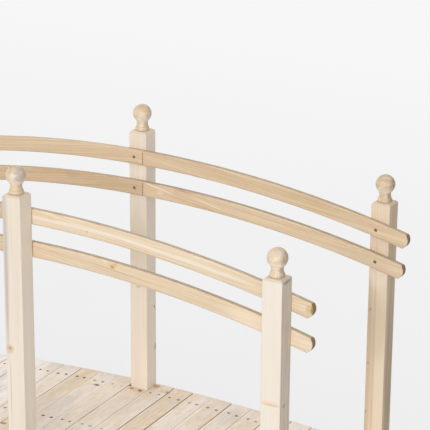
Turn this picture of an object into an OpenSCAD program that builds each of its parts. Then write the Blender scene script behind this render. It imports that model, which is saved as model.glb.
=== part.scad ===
// Moon bridge: an arched timber footbridge for a garden, with two railings.
// X runs along the bridge, Y across it and Z up, in millimetres.
// The origin is on the ground under the crown. Left is +Y and front is +X.

/* [Arch] */
// Height of the walking surface above the ground, at the crown
crown_h = 180; // [160:1:230]
// Radius of the walking surface
deck_r = 5850; // [4800:10:7600]
// Distance from the crown to the end of a beam
beam_reach = 946; // [860:1:1010]

/* [Posts] */
// Side of a square post
post_w = 52; // [44:1:64]
// Length of a post without its finial
post_len = 839; // [700:1:1000]
// Distance between neighbouring posts along the bridge
post_pitch = 712; // [620:1:760]
// Clear width between the posts of the two sides
clear_w = 554; // [480:1:760]
// How far a middle post reaches below the walking surface
post_drop = 92; // [70:1:100]
// Chamfer round the top of a post
post_top_chamfer = 5; // [1:0.5:8]
// Eased edge along a post
post_ease = 1.5; // [0.5:0.5:4]

/* [Finials] */
// Diameter of the turned ball
ball_d = 50; // [40:1:58]
// Diameter of the neck under the ball
neck_d = 29.5; // [20:0.5:31]
// Diameter of the foot
foot_d = 37.5; // [34:0.5:44]
// Radius of the rounding round the foot
foot_round = 5.5; // [3:0.5:7]
// Height of the neck above the post
neck_h = 19; // [14:1:24]
// Height of the ball's centre above the post
ball_h = 46; // [40:1:52]

/* [Rails] */
// Depth of a rail, seen from the side
rail_d = 40; // [30:1:60]
// Thickness of a rail
rail_t = 18; // [14:1:30]
// Radius of a rail's centre line
rail_r = 3150; // [2600:10:5000]
// Upper rail's centre line below the top of a post
rail_below_top = 65; // [45:1:120]
// Distance between the two rails of a side, centre to centre
rail_spacing = 86; // [60:1:200]
// How far a rail runs past the centre of an end post
rail_overhang = 84; // [60:1:120]
// Radius of the rounded end of a rail
rail_end_r = 24; // [21:0.5:40]
// Eased edge along a rail
rail_ease = 3; // [0.5:0.5:4]
// Gap at the shoulders of the half-lap joint
lap_gap = 0.6; // [0.2:0.1:2]

/* [Beams] */
// Depth of an arched beam
beam_d = 88; // [60:1:110]
// Thickness of a beam
beam_t = 22; // [16:1:40]
// Length of the half-lap joint that joins two half beams
beam_lap = 120; // [60:1:200]

/* [Deck] */
// Thickness of a deck board
board_t = 16; // [10:1:28]
// Distance from one board to the next along the arch
board_pitch = 60.8; // [50:0.1:90]
// Gap between boards
board_gap = 2; // [1:0.5:8]
// Place along the arch of the seam in front of the middle posts
first_seam = 26.5; // [20:0.5:30]
// Eased edge along the top of a board
board_ease = 1.5; // [0.5:0.5:3]
// Clearance between a board's notch and a post
notch_gap = 1; // [0.5:0.5:4]
// Narrowest tongue of wood that is left beside a notch
least_tongue = 10; // [6:1:16]

/* [Hidden] */

// A round surface's number of sides
arc_fn = 720;
turned_fn = 96;
// Clearance between a board and the beam that carries it
seat_gap = 0.1;
// Extra reach of a cutting shape past what it cuts
over = 10;

// Directions: left and right of the bridge, front and rear of it
LEFT = 1;
RIGHT = -1;
FRONT = 1;
MIDDLE = 0;
REAR = -1;

post_y = clear_w / 2 + post_w / 2;
deck_half_w = clear_w / 2 + post_w;
board_w = board_pitch - board_gap;

// How far a circle of radius r falls over a distance x from its top
function fall(r, x) = r - sqrt(r * r - x * x);

// The posts are all alike, so that a rail crosses each of them at one height
function post_foot_z(end) = crown_h - post_drop - fall(rail_r, end * post_pitch);
upper_rail_z = post_foot_z(MIDDLE) + post_len - rail_below_top;
lower_rail_z = upper_rail_z - rail_spacing;

// A rectangle with chamfered corners, with its centre on the origin
module eased_rect(w, h, ease) {
  polygon([
    [-w / 2 + ease, -h / 2], [w / 2 - ease, -h / 2],
    [w / 2, -h / 2 + ease], [w / 2, h / 2 - ease],
    [w / 2 - ease, h / 2], [-w / 2 + ease, h / 2],
    [-w / 2, h / 2 - ease], [-w / 2, -h / 2 + ease]
  ]);
}

// A bar bent to a circle of radius r about the origin, in the XZ plane
// It runs from angle a0 to angle a1, counted from the top towards +X
module bent_bar(r, depth, thick, ease, a0, a1) {
  rotate([90, 0, 0])
    rotate([0, 0, 90 - a1])
      rotate_extrude(angle = a1 - a0, $fn = arc_fn)
        translate([r, 0])
          eased_rect(depth, thick, ease);
}

// What a half-lap joint takes off the half piece that runs to the front
// This half keeps its wood on the left of the joint; turned round, it fits its twin
module lap_cut(lap, depth, thick) {
  reach = depth + over;
  translate([-lap / 2 - over - lap, -thick / 2 - over, -reach])
    cube([lap + over + lap_gap / 2, thick + 2 * over, 2 * reach]);
  translate([-lap / 2 - over, -thick / 2 - over, -reach])
    cube([lap + over + lap_gap / 2, thick / 2 + over, 2 * reach]);
}

// One half of a rail, from the lap joint to the rounded front end
module half_rail() {
  tip = asin((post_pitch + rail_overhang) / rail_r);
  end_a = tip - (rail_end_r / rail_r) * 180 / PI;
  lap_a = asin((post_w / 2 + over) / rail_r);
  difference() {
    translate([0, 0, -rail_r])
      bent_bar(rail_r, rail_d, rail_t, rail_ease, -lap_a, tip + 1);
    lap_cut(post_w, rail_d, rail_t);
    translate([0, 0, -rail_r])
      rotate([0, end_a, 0])
        translate([0, 0, rail_r])
          rail_end_cut();
  }
}

// What the rounding takes off the end of a rail, with the arc's centre on the origin
module rail_end_cut() {
  rotate([90, 0, 0])
    linear_extrude(height = rail_t + 2 * over, center = true)
      difference() {
        translate([0, -rail_d])
          square([rail_d * 3, 2 * rail_d]);
        circle(r = rail_end_r, $fn = turned_fn);
      }
}

// A half rail at its place: all eight have one shape, and the rear ones are turned round
module rail(side, end, z) {
  color("BurlyWood")
    translate([0, side * (clear_w / 2 - rail_t / 2), z])
      turned_to(end)
        half_rail();
}

// Takes a piece made for the front to the rear by half a turn about Z
module turned_to(end) {
  rotate([0, 0, end > 0 ? 0 : 180])
    children();
}

// A square post with eased edges and a chamfered top
module post(side, end) {
  color("Wheat")
    translate([end * post_pitch, side * post_y, post_foot_z(end)])
      intersection() {
        linear_extrude(height = post_len)
          eased_rect(post_w, post_w, post_ease);
        rotate([90, 0, 0])
          post_face();
        rotate([90, 0, 90])
          post_face();
      }
}

// Side view of a post, as thick as the post is wide
module post_face() {
  half = post_w / 2;
  linear_extrude(height = post_w, center = true)
    polygon([
      [-half, 0], [half, 0], [half, post_len - post_top_chamfer],
      [half - post_top_chamfer, post_len], [-half + post_top_chamfer, post_len],
      [-half, post_len - post_top_chamfer]
    ]);
}

// A turned ball on a coved neck, which stands on a post
module finial(side, end) {
  color("BurlyWood")
    translate([end * post_pitch, side * post_y, post_foot_z(end) + post_len])
      rotate_extrude($fn = turned_fn)
        intersection() {
          finial_outline();
          square([ball_d, ball_h + ball_d]);
        }
}

// Half outline of a finial: ball, cove and rounded foot
module finial_outline() {
  round_x = foot_d / 2 - foot_round;
  // The cove is an arc that passes the neck and runs smoothly into the foot
  step = neck_d / 2 - round_x;
  rise = neck_h - foot_round;
  cove_r = (step * step + rise * rise - foot_round * foot_round) / (foot_d - neck_d);
  touch = foot_round / (foot_round + cove_r);
  touch_x = round_x + touch * (step + cove_r);
  touch_z = foot_round + touch * rise;
  translate([0, ball_h])
    circle(d = ball_d, $fn = turned_fn);
  translate([round_x, foot_round])
    circle(r = foot_round, $fn = turned_fn);
  square([round_x, 2 * foot_round]);
  difference() {
    translate([0, touch_z])
      square([touch_x, 2 * (neck_h - touch_z)]);
    translate([neck_d / 2 + cove_r, neck_h])
      circle(r = cove_r, $fn = turned_fn);
  }
}

// One half of an arched beam, from the lap joint to the front foot
module half_beam() {
  r_mid = deck_r - board_t - seat_gap - beam_d / 2;
  end_a = asin((beam_reach + over) / (r_mid - beam_d / 2));
  lap_a = asin((beam_lap / 2 + over) / (r_mid - beam_d / 2));
  z_mid = crown_h - board_t - seat_gap - beam_d / 2;
  intersection() {
    difference() {
      translate([0, 0, z_mid - r_mid])
        bent_bar(r_mid, beam_d, beam_t, 0.5, -lap_a, end_a);
      translate([0, 0, z_mid])
        lap_cut(beam_lap, beam_d, beam_t);
    }
    translate([-beam_lap, -beam_t, 0])
      cube([beam_lap + beam_reach, 2 * beam_t, crown_h]);
  }
}

// A half beam at its place: y is the middle of its thickness
module beam(y, end) {
  color("Tan")
    translate([0, y, 0])
      turned_to(end)
        half_beam();
}
side_beam_y = clear_w / 2 - beam_t / 2;

// A deck board; its number counts from the seam in front of the middle posts
module board(i) {
  a = (first_seam + (i + 0.5) * board_pitch) / deck_r * 180 / PI;
  x = deck_r * sin(a);
  difference() {
    translate([0, 0, crown_h - deck_r])
      rotate([0, a, 0])
        translate([0, 0, deck_r - board_t / 2])
          rotate([90, 0, 0])
            linear_extrude(height = 2 * deck_half_w, center = true)
              eased_rect(board_w, board_t, board_ease);
    for (end = [REAR, MIDDLE, FRONT])
      if (abs(x - end * post_pitch) < (board_w + post_w) / 2 + notch_gap)
        notches(end, x - board_w / 2, x + board_w / 2);
  }
}

// The two notches that a board from x0 to x1 has round a pair of posts
// A tongue too narrow to hold goes with the notch
module notches(end, x0, x1) {
  n0 = end * post_pitch - post_w / 2 - notch_gap;
  n1 = end * post_pitch + post_w / 2 + notch_gap;
  from = n0 - x0 < least_tongue ? x0 - over : n0;
  to = x1 - n1 < least_tongue ? x1 + over : n1;
  for (side = [LEFT, RIGHT])
    translate([from, side > 0 ? clear_w / 2 - notch_gap : -deck_half_w - over, 0])
      cube([to - from, post_w + notch_gap + over, crown_h + over]);
}

// The boards numbered from first to last
module boards(first, last) {
  color("Linen")
    for (i = [first:last])
      board(i);
}

// Number of the board in which a place x along the bridge lies
function board_at(x) = floor((asin(x / deck_r) / 180 * PI * deck_r - first_seam) / board_pitch);
// The deck has as many whole boards as the beams carry
last_front = board_at(beam_reach) - 1;
last_rear = board_at(-beam_reach) + 1;
first_crown = board_at(-post_w / 2);
last_crown = board_at(post_w / 2 - board_gap);
first_front_post = board_at(post_pitch - post_w / 2 - notch_gap);
last_front_post = board_at(post_pitch + post_w / 2 + notch_gap);
first_rear_post = board_at(-post_pitch - post_w / 2 - notch_gap);
last_rear_post = board_at(-post_pitch + post_w / 2 + notch_gap);

post(LEFT, REAR);  // post_left_rear
post(LEFT, MIDDLE);  // post_left_middle
post(LEFT, FRONT);  // post_left_front
post(RIGHT, REAR);  // post_right_rear
post(RIGHT, MIDDLE);  // post_right_middle
post(RIGHT, FRONT);  // post_right_front
finial(LEFT, REAR);  // finial_left_rear
finial(LEFT, MIDDLE);  // finial_left_middle
finial(LEFT, FRONT);  // finial_left_front
finial(RIGHT, REAR);  // finial_right_rear
finial(RIGHT, MIDDLE);  // finial_right_middle
finial(RIGHT, FRONT);  // finial_right_front
rail(LEFT, REAR, upper_rail_z);  // upper_rail_left_rear
rail(LEFT, FRONT, upper_rail_z);  // upper_rail_left_front
rail(RIGHT, REAR, upper_rail_z);  // upper_rail_right_rear
rail(RIGHT, FRONT, upper_rail_z);  // upper_rail_right_front
rail(LEFT, REAR, lower_rail_z);  // lower_rail_left_rear
rail(LEFT, FRONT, lower_rail_z);  // lower_rail_left_front
rail(RIGHT, REAR, lower_rail_z);  // lower_rail_right_rear
rail(RIGHT, FRONT, lower_rail_z);  // lower_rail_right_front
beam(side_beam_y, REAR);  // beam_left_rear
beam(side_beam_y, FRONT);  // beam_left_front
beam(0, REAR);  // beam_centre_rear
beam(0, FRONT);  // beam_centre_front
beam(-side_beam_y, REAR);  // beam_right_rear
beam(-side_beam_y, FRONT);  // beam_right_front
boards(last_rear, first_rear_post - 1);  // boards_rear_ramp
boards(first_rear_post, last_rear_post);  // boards_rear_posts
boards(last_rear_post + 1, first_crown - 1);  // boards_rear_bay
boards(first_crown, last_crown);  // boards_crown
boards(last_crown + 1, first_front_post - 1);  // boards_front_bay
boards(first_front_post, last_front_post);  // boards_front_posts
boards(last_front_post + 1, last_front);  // boards_front_ramp
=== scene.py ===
"""Looks of an arched timber footbridge, built round its CAD solids. Metres, in the part's own frame."""
import math
import random

import bmesh
import bpy
from mathutils import Matrix, Vector


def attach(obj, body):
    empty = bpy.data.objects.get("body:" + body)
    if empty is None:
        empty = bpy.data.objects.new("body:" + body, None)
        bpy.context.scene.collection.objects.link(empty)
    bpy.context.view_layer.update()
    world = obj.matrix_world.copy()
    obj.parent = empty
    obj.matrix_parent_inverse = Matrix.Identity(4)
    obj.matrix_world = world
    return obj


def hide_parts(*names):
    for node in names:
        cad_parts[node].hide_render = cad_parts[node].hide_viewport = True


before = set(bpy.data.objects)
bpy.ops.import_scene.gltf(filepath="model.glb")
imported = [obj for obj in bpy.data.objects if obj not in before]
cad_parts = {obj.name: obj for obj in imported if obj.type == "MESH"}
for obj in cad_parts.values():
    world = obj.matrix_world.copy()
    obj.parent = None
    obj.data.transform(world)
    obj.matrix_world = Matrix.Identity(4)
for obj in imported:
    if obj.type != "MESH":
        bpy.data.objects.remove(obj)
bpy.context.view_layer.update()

MM = 0.001
SIDES = {"left": 1, "right": -1}
ENDS = {"rear": -1, "middle": 0, "front": 1}

# Sizes of the CAD part
CROWN_H = 180 * MM
DECK_R = 5850 * MM
POST_W = 52 * MM
POST_PITCH = 712 * MM
POST_FOOT = 88 * MM
POST_LEN = 839 * MM
CLEAR_W = 554 * MM
DECK_HALF = 329 * MM
RAIL_R = 3150 * MM
RAIL_T = 18 * MM
RAIL_HEIGHTS = {"upper": 862 * MM, "lower": 776 * MM}
BEAM_T = 22 * MM
BEAM_YS = {"left": 266 * MM, "centre": 0.0, "right": -266 * MM}
BOARD_T = 16 * MM
BOARD_PITCH = 60.8 * MM
BOARD_GAP = 2 * MM
FIRST_SEAM = 26.5 * MM
NOTCH_GAP = 1 * MM
LEAST_TONGUE = 10 * MM

# Boards of each CAD node, first and last, counted from the seam in front of the middle posts
BOARD_NODES = {
    "boards_rear_ramp": (-16, -14),
    "boards_rear_posts": (-13, -12),
    "boards_rear_bay": (-11, -2),
    "boards_crown": (-1, -1),
    "boards_front_bay": (0, 9),
    "boards_front_posts": (10, 11),
    "boards_front_ramp": (12, 14),
}

# Width of the open seam behind each board that the photograph shows, in millimetres
SEAM_GAPS = {
    -6: 1.4, -5: 1.5, -4: 2.4, -3: 0.3, -2: 0.2, -1: 1.9, 0: 1.0, 1: 2.7, 2: 3.2, 3: 0.9, 4: 2.3, 5: 1.0,
}
# How far forward a seam lies from its regular place, in millimetres
SEAM_MOVES = {-1: -1.0, 1: -1.8, 2: -2.0, 3: -1.8, 4: -1.8, 5: -1.5}
# How rusty or dusty the outer nails of a board are, from 0, dark steel, over 0.6, rust, to 1, sanding dust
NAIL_SHADES = {
    -6: 0.35, -5: 0.1, -4: 0.2, -3: 0.8, -2: 0.85, -1: 0.6,
    0: 0.75, 1: 0.6, 2: 0.9, 3: 0.75, 4: 0.72, 5: 0.75,
}
# Tone of each board that the photograph shows, from 0, greyish pink, to 1, tan
BOARD_TONES = {
    -8: 0.2, -7: 0.0, -6: 0.1, -5: 0.2, -4: 1.0, -3: 0.3, -2: 0.45, -1: 0.5,
    0: 0.7, 1: 0.95, 2: 0.2, 3: 0.6, 4: 0.4, 5: 0.4, 6: 0.2, 7: 0.1, 8: 0.2, 9: 0.1,
}

# Knots, resin, bruises, patches and some painted shade and light that the photograph shows, in millimetres
# and degrees: middle, half axes, colour, strength and, where it tips, how far down towards the front
POST_SPOTS = [
    # painted shade: a grey band down the left edge of the right middle post, for a wane in shade
    ((-25, -329, 775), (19, 6, 340), (206, 198, 188), 0.85),
    ((-18, -329, 710), (4, 6, 250), (190, 178, 166), 0.6),
    ((-14, -329, 523), (14, 6, 14), (214, 178, 138), 0.75),
    ((-15, -329, 521), (9, 5, 8), (232, 208, 178), 0.6),
    ((-14, -329, 524), (5, 4, 5), (172, 130, 88), 0.75),
    ((-14, -329, 405), (1.9, 6, 130), (200, 176, 152), 0.6),
    # painted shade on the outward bevel at the top of the right front post
    ((737, -303, 837), (6, 26, 6), (158, 140, 124), 0.6),
    ((712, -329, 536), (34, 5, 8), (236, 206, 166), 0.6),
    ((716, -329, 533), (28, 4, 2.4), (204, 164, 120), 0.45),
    ((738, -308, 528), (4, 9, 7), (140, 116, 92), 0.45),
    ((694, 277, 557), (4.5, 3, 5.5), (132, 92, 58), 0.8),
    ((692, 277, 405), (4.5, 3, 6.5), (140, 98, 62), 0.8),
    ((690, 277, 266), (4.5, 3, 6.5), (132, 90, 56), 0.8),
    ((684, 277, 400), (22, 6, 420), (202, 180, 148), 0.7),
    ((722, 277, 300), (17, 6, 520), (236, 222, 198), 0.45),
    ((706, 277, 440), (4.5, 6, 480), (206, 174, 148), 0.5),
    ((0, 277, 900), (40, 6, 62), (222, 204, 184), 0.4),
    # painted shadow of the near rails on the left middle post
    ((0, 277, 606), (40, 6, 150), (206, 186, 160), 0.30),
    # painted shadow of the near rails on the left front post
    ((712, 277, 506), (40, 6, 120), (196, 176, 146), 0.32),
    ((712, 277, 660), (40, 6, 60), (246, 232, 214), 0.5),
    # painted light on the outward side of the right middle post
    ((26, -303, 640), (6, 40, 420), (255, 244, 230), 0.3),
    # painted shade low on the outward side of the left front post
    ((738, 305, 330), (6, 25, 380), (150, 140, 124), 0.4),
    ((26, 319, 416), (4, 4, 6), (120, 92, 64), 0.8),
    ((26, 323, 296), (4, 5, 14), (140, 126, 104), 0.6),
    ((0, 277, 484), (10, 4, 5), (206, 164, 130), 0.5),
]
FINIAL_SPOTS = [
    ((18, -316, 975), (19, 30, 34), (206, 196, 184), 0.85),
    ((-7, -320, 988), (11, 16, 10), (226, 182, 138), 0.6),
    ((10, -322, 985), (2, 12, 14), (180, 168, 150), 0.6, 40),
    ((17, -318, 968), (2, 12, 16), (176, 164, 146), 0.6, -35),
    ((2, -319, 948), (5, 8, 14), (236, 200, 150), 0.7),
    ((18, -318, 947), (9, 12, 16), (206, 196, 180), 0.7),
    ((-8, -312, 996), (2.4, 8, 4.5), (104, 88, 66), 0.9, 30),
    ((-3, -309, 998), (6, 8, 2), (126, 106, 80), 0.7, 20),
]
RAIL_SPOTS = [
    ((254, -277, 778), (15, 5, 11), (230, 194, 142), 0.75, 7),
    ((255, -277, 774), (9, 5, 5), (180, 142, 96), 0.75, 20),
    ((262, -277, 781), (10, 5, 3), (192, 152, 106), 0.5, 8),
    ((225, -277, 788), (22, 5, 1.8), (248, 232, 206), 0.8, 18),
    ((196, -277, 791), (30, 5, 1.3), (196, 156, 112), 0.6, 9),
    ((184, -277, 852), (5, 4, 3), (196, 150, 104), 0.7, 5),
    ((79, -277, 868), (10, 4, 4), (226, 186, 138), 0.5, 5),
    ((501, -277, 765), (7, 5, 4), (140, 108, 74), 0.85, 10),
    ((690, -277, 699), (170, 6, 34), (252, 234, 210), 0.45, 13),
    ((784, -277, 770), (13, 5, 16), (208, 174, 118), 0.6, 25),
    ((794, -277, 771), (9, 5, 18), (150, 116, 62), 0.8, 20),
    ((131, 259, 796), (62, 5, 7.5), (182, 146, 108), 0.65, 9),
    ((76, 259, 786), (62, 5, 2.4), (240, 224, 200), 0.8, 11.5),
    ((79, 259, 774), (15, 5, 7), (232, 216, 198), 0.45, 8),
    ((52, 259, 776), (26, 5, 13), (216, 190, 138), 0.4, 5),
    ((175, 259, 757), (66, 5, 5.5), (222, 180, 132), 0.5, 10),
    ((226, 259, 767), (70, 5, 3.0), (232, 216, 196), 0.65, 13),
    ((-196, 259, 790), (38, 5, 24), (182, 152, 118), 0.45, -3),
    ((-150, 259, 790), (30, 5, 30), (196, 166, 130), 0.4, -3),
]
DECK_SPOTS = [
    ((-405, 120, 166), (180, 420, 40), (255, 250, 247), 0.6),
    ((-190, 110, 177), (25, 300, 12), (212, 192, 162), 0.5),
    ((-136, 30, 178), (34, 190, 12), (208, 196, 183), 0.5),
    ((-66, 225, 179), (31, 80, 8), (246, 230, 214), 0.6),
    ((-116, 240, 179), (24, 15, 6), (212, 198, 180), 0.5),
    ((304, 250, 173), (38, 70, 10), (208, 196, 182), 0.5),
    # painted shadow of the right middle post on the deck
    ((-112, -60, 179), (62, 210, 12), (214, 200, 184), 0.45),
    ((29, 302, 180), (24, 20, 8), (206, 178, 150), 0.5),
    ((75, 291, 179), (20, 14, 8), (206, 178, 154), 0.45),
    ((4, 262, 180), (28, 15, 8), (216, 182, 142), 0.45),
    ((-116, 240, 179), (11, 6.5, 5), (100, 76, 50), 1.0),
    ((-207, -91, 176), (14, 8, 6), (150, 108, 66), 0.85),
    ((36, 312, 180), (16, 13, 8), (186, 140, 92), 0.9),
    ((84, 291, 179), (8, 9, 8), (166, 122, 88), 0.75),
    ((-17, 264, 180), (9, 7, 8), (164, 112, 68), 0.8),
    ((13, 261, 180), (9, 7, 8), (150, 106, 66), 0.7),
]

# Kinds of timber: early and late wood of the palest and of the tannest piece, the figure, the end grain (from
# where to where a face turns to it, and its strength), roughness, and strength of the relief
FIGURE = ("Ring", "Figure", "Streaks", "Mottle", "Knots", "Short")
WOODS = {
    "post": (((245, 236, 226), (234, 219, 201)), ((234, 216, 193), (216, 191, 161)),
             (5 * MM, 0.25, 0.9, 0.2, 0.06, 1.0), (0.6, 0.9, 0.12), 0.62, 0.25),
    "turned": (((246, 230, 207), (214, 190, 160)), ((228, 208, 178), (194, 166, 134)),
               (4.5 * MM, 0.22, 0.7, 1.6, 0.0, 6.0), (0.55, 1.0, 0.0), 0.42, 0.25),
    "rail": (((242, 226, 201), (219, 189, 152)), ((213, 190, 160), (186, 155, 119)),
             (7 * MM, 0.40, 1.7, 0.6, 0.04, 1.6), (0.42, 0.80, 0.92), 0.62, 0.25),
    "beam": (((236, 216, 188), (212, 180, 140)), ((222, 196, 160), (196, 160, 118)),
             (6 * MM, 0.45, 1.2, 0.4, 0.10, 1.5), (0.6, 0.9, 0.55), 0.62, 0.25),
    "deck": (((252, 242, 233), (232, 216, 204)), ((244, 226, 202), (220, 194, 160)),
             (5.5 * MM, 0.46, 0.9, 0.9, 0.10, 2.4), (0.6, 0.9, 0.35), 0.68, 0.35),
}


# ---- Shader helpers ----

class Nodes:
    """Makes shader nodes in one tree. A value is a number, a tuple or another node's socket."""

    def __init__(self, tree):
        self.tree = tree

    def new(self, kind, **settings):
        node = self.tree.nodes.new("ShaderNode" + kind)
        for name, value in settings.items():
            setattr(node, name, value)
        return node

    def put(self, socket, value):
        if isinstance(value, bpy.types.NodeSocket):
            self.tree.links.new(value, socket)
        else:
            socket.default_value = value

    def give(self, node, **values):
        """Gives a node its inputs by name; an underscore stands for the space in a name."""
        for name, value in values.items():
            self.put(node.inputs[name.replace("_", " ")], value)
        return node

    def fill(self, node, *values):
        """Gives a node its inputs in turn, and returns its first output."""
        for socket, value in zip(node.inputs, values):
            self.put(socket, value)
        return node.outputs[0]

    def math(self, operation, *values, clamp=False):
        return self.fill(self.new("Math", operation=operation, use_clamp=clamp), *values)

    def add(self, a, b):
        return self.math("ADD", a, b)

    def times(self, a, b):
        return self.math("MULTIPLY", a, b)

    def times_add(self, a, b, c):
        return self.math("MULTIPLY_ADD", a, b, c)

    def minus(self, a, b):
        return self.math("SUBTRACT", a, b)

    def size(self, a):
        return self.math("ABSOLUTE", a)

    def hypotenuse(self, a, b):
        return self.math("SQRT", self.add(self.math("POWER", a, 2.0), self.math("POWER", b, 2.0)))

    def sway(self, base, noise, amount):
        """A number that a noise, whose middle is a half, moves to both sides."""
        return self.times_add(self.minus(noise, 0.5), amount, base)

    def vector(self, operation, *values):
        node = self.new("VectorMath", operation=operation)
        vector = self.fill(node, *values)
        return node.outputs["Value"] if operation in ("LENGTH", "DOT_PRODUCT") else vector

    def split(self, vector):
        node = self.new("SeparateXYZ")
        self.fill(node, vector)
        return node.outputs

    def join(self, x, y, z):
        return self.fill(self.new("CombineXYZ"), x, y, z)

    def noise(self, place, rate=1.0, detail=2.0, roughness=0.5, output="Fac"):
        """Noise that changes at a rate per metre: one number, or one for each axis."""
        if isinstance(rate, tuple):
            place, rate = self.vector("MULTIPLY", place, rate), 1.0
        node = self.give(self.new("TexNoise"), Vector=place, Scale=rate, Detail=detail, Roughness=roughness)
        return node.outputs[output]

    def ramp(self, value, low, high, to_low=0.0, to_high=1.0, kind="SMOOTHSTEP"):
        """Takes low and high to to_low and to_high, and holds those beyond."""
        return self.fill(self.new("MapRange", interpolation_type=kind), value, low, high, to_low, to_high)

    def curve(self, value, stops):
        """A number for each place from 0 to 1, from (place, number) stops."""
        node = self.new("ValToRGB")
        elements = node.color_ramp.elements
        while len(elements) < len(stops):
            elements.new(0.5)
        for element, (place, number) in zip(elements, stops):
            element.position = place
            element.color = (number, number, number, 1)
        return self.fill(node, value)

    def mix(self, factor, a, b, blend="MIX"):
        node = self.new("Mix", data_type="RGBA", blend_type=blend)
        self.put(node.inputs[0], factor)
        self.put(node.inputs[6], a)
        self.put(node.inputs[7], b)
        return node.outputs[2]

    def paint(self, colour, mask, strength, shade):
        """Lays a shade, from 0 to 255, over a colour where a mask says so."""
        return self.mix(self.times(mask, strength), colour, rgb(*shade))

    def darken(self, colour, mask, tint):
        return self.mix(mask, colour, tint, "MULTIPLY")

    def of_object(self, name):
        """A number that each object carries."""
        return self.new("Attribute", attribute_type="OBJECT", attribute_name=name).outputs["Fac"]

    def of_face(self, name):
        """A number that each face carries."""
        return self.new("Attribute", attribute_type="GEOMETRY", attribute_name=name).outputs["Fac"]


def rgb(red, green, blue):
    """A shader colour from the 0 to 255 values of a picture."""
    linear = []
    for value in (red, green, blue):
        c = value / 255
        linear.append(c / 12.92 if c <= 0.04045 else ((c + 0.055) / 1.055) ** 2.4)
    return (*linear, 1.0)


def new_material(name):
    """A material, the maker of its nodes and its shader."""
    material = bpy.data.materials.new(name)
    material.use_nodes = True
    return material, Nodes(material.node_tree), material.node_tree.nodes["Principled BSDF"]


# ---- Softwood ----

TIMBER_INPUTS = {
    "Place": "Vector", "Seed": "Float", "Early": "Color", "Late": "Color",
    **dict.fromkeys(FIGURE, "Float"), "End Grain": "Float",
}
# How fast each part of the figure changes along the grain and across it, per metre
WANDER_RATE = (1.6, 7.0, 7.0)
KNOT_RATE = (4.2, 9.0, 0.0)
FADE_RATE = (2.5, 22.0, 22.0)
BROAD_RATE = (1.3, 62.0, 62.0)
THIN_RATE = (2.6, 260.0, 260.0)
FIBRE_RATE = (16.0, 900.0, 900.0)
BLOTCH_RATE = (28.0, 85.0, 85.0)
WARM_RATE = (4.0, 48.0, 48.0)
# Metres of log that the pieces are cut from
LOG_LENGTH = 7.0
# How far the rings wander, how far to either side of a piece the pith lies, and how near and far below it
WANDER = 30 * MM
PITH_ASIDE = 90 * MM
PITH_NEAR = 12 * MM
PITH_RANGE = 70 * MM
# How far a knot bends the rings
KNOT_BEND = 6 * MM
# Darkness of a year's wood, from its first growth to its last
YEAR = [(0.0, 0.25), (0.12, 0.0), (0.5, 0.1), (0.86, 1.0), (1.0, 0.25)]


def place_in_log(n, given):
    """Each piece is cut from another place of the log: its place there and three numbers by luck."""
    luck = n.give(n.new("TexWhiteNoise", noise_dimensions="1D"), W=given["Seed"]).outputs["Color"]
    length = n.vector("MULTIPLY", luck, (LOG_LENGTH,) * 3)
    return n.vector("ADD", given["Place"], length), n.split(luck)


def pith_distance(n, given, place, luck):
    """The distance from the pith. The log isn't straight: its rings wander along the grain."""
    _, a, b = n.split(given["Place"])
    wander = n.split(n.noise(place, WANDER_RATE, detail=1.0, output="Color"))
    a = n.sway(n.sway(a, wander[0], WANDER), luck[0], PITH_ASIDE)
    below = n.times_add(luck[1], PITH_RANGE, PITH_NEAR)
    return n.hypotenuse(a, n.add(below, n.sway(b, wander[1], WANDER)))


def knots(n, place, share):
    """Knots lie here and there: their cores, the wood round them, and the distance from the nearest."""
    cells = n.new("TexVoronoi", voronoi_dimensions="2D", feature="F1")
    n.give(cells, Vector=n.vector("MULTIPLY", place, KNOT_RATE), Scale=1.0)
    plain = n.math("LESS_THAN", n.split(cells.outputs["Color"])[0], n.minus(1.0, share))
    near = n.times_add(plain, 9.0, cells.outputs["Distance"])
    return n.ramp(near, 0.075, 0.035), n.ramp(near, 0.30, 0.05), near


def late_wood(n, place, year, luck):
    """The dark part of each year's ring, which shows in some places and fades in others."""
    year = n.add(year, n.noise(n.join(year, luck[2], 0.0), 0.9, detail=1.0))
    late = n.curve(n.math("FRACT", year), YEAR)
    seen = n.ramp(n.noise(place, FADE_RATE, detail=1.0), 0.38, 0.62)
    return n.times(late, n.times_add(seen, 0.75, 0.25))


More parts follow.
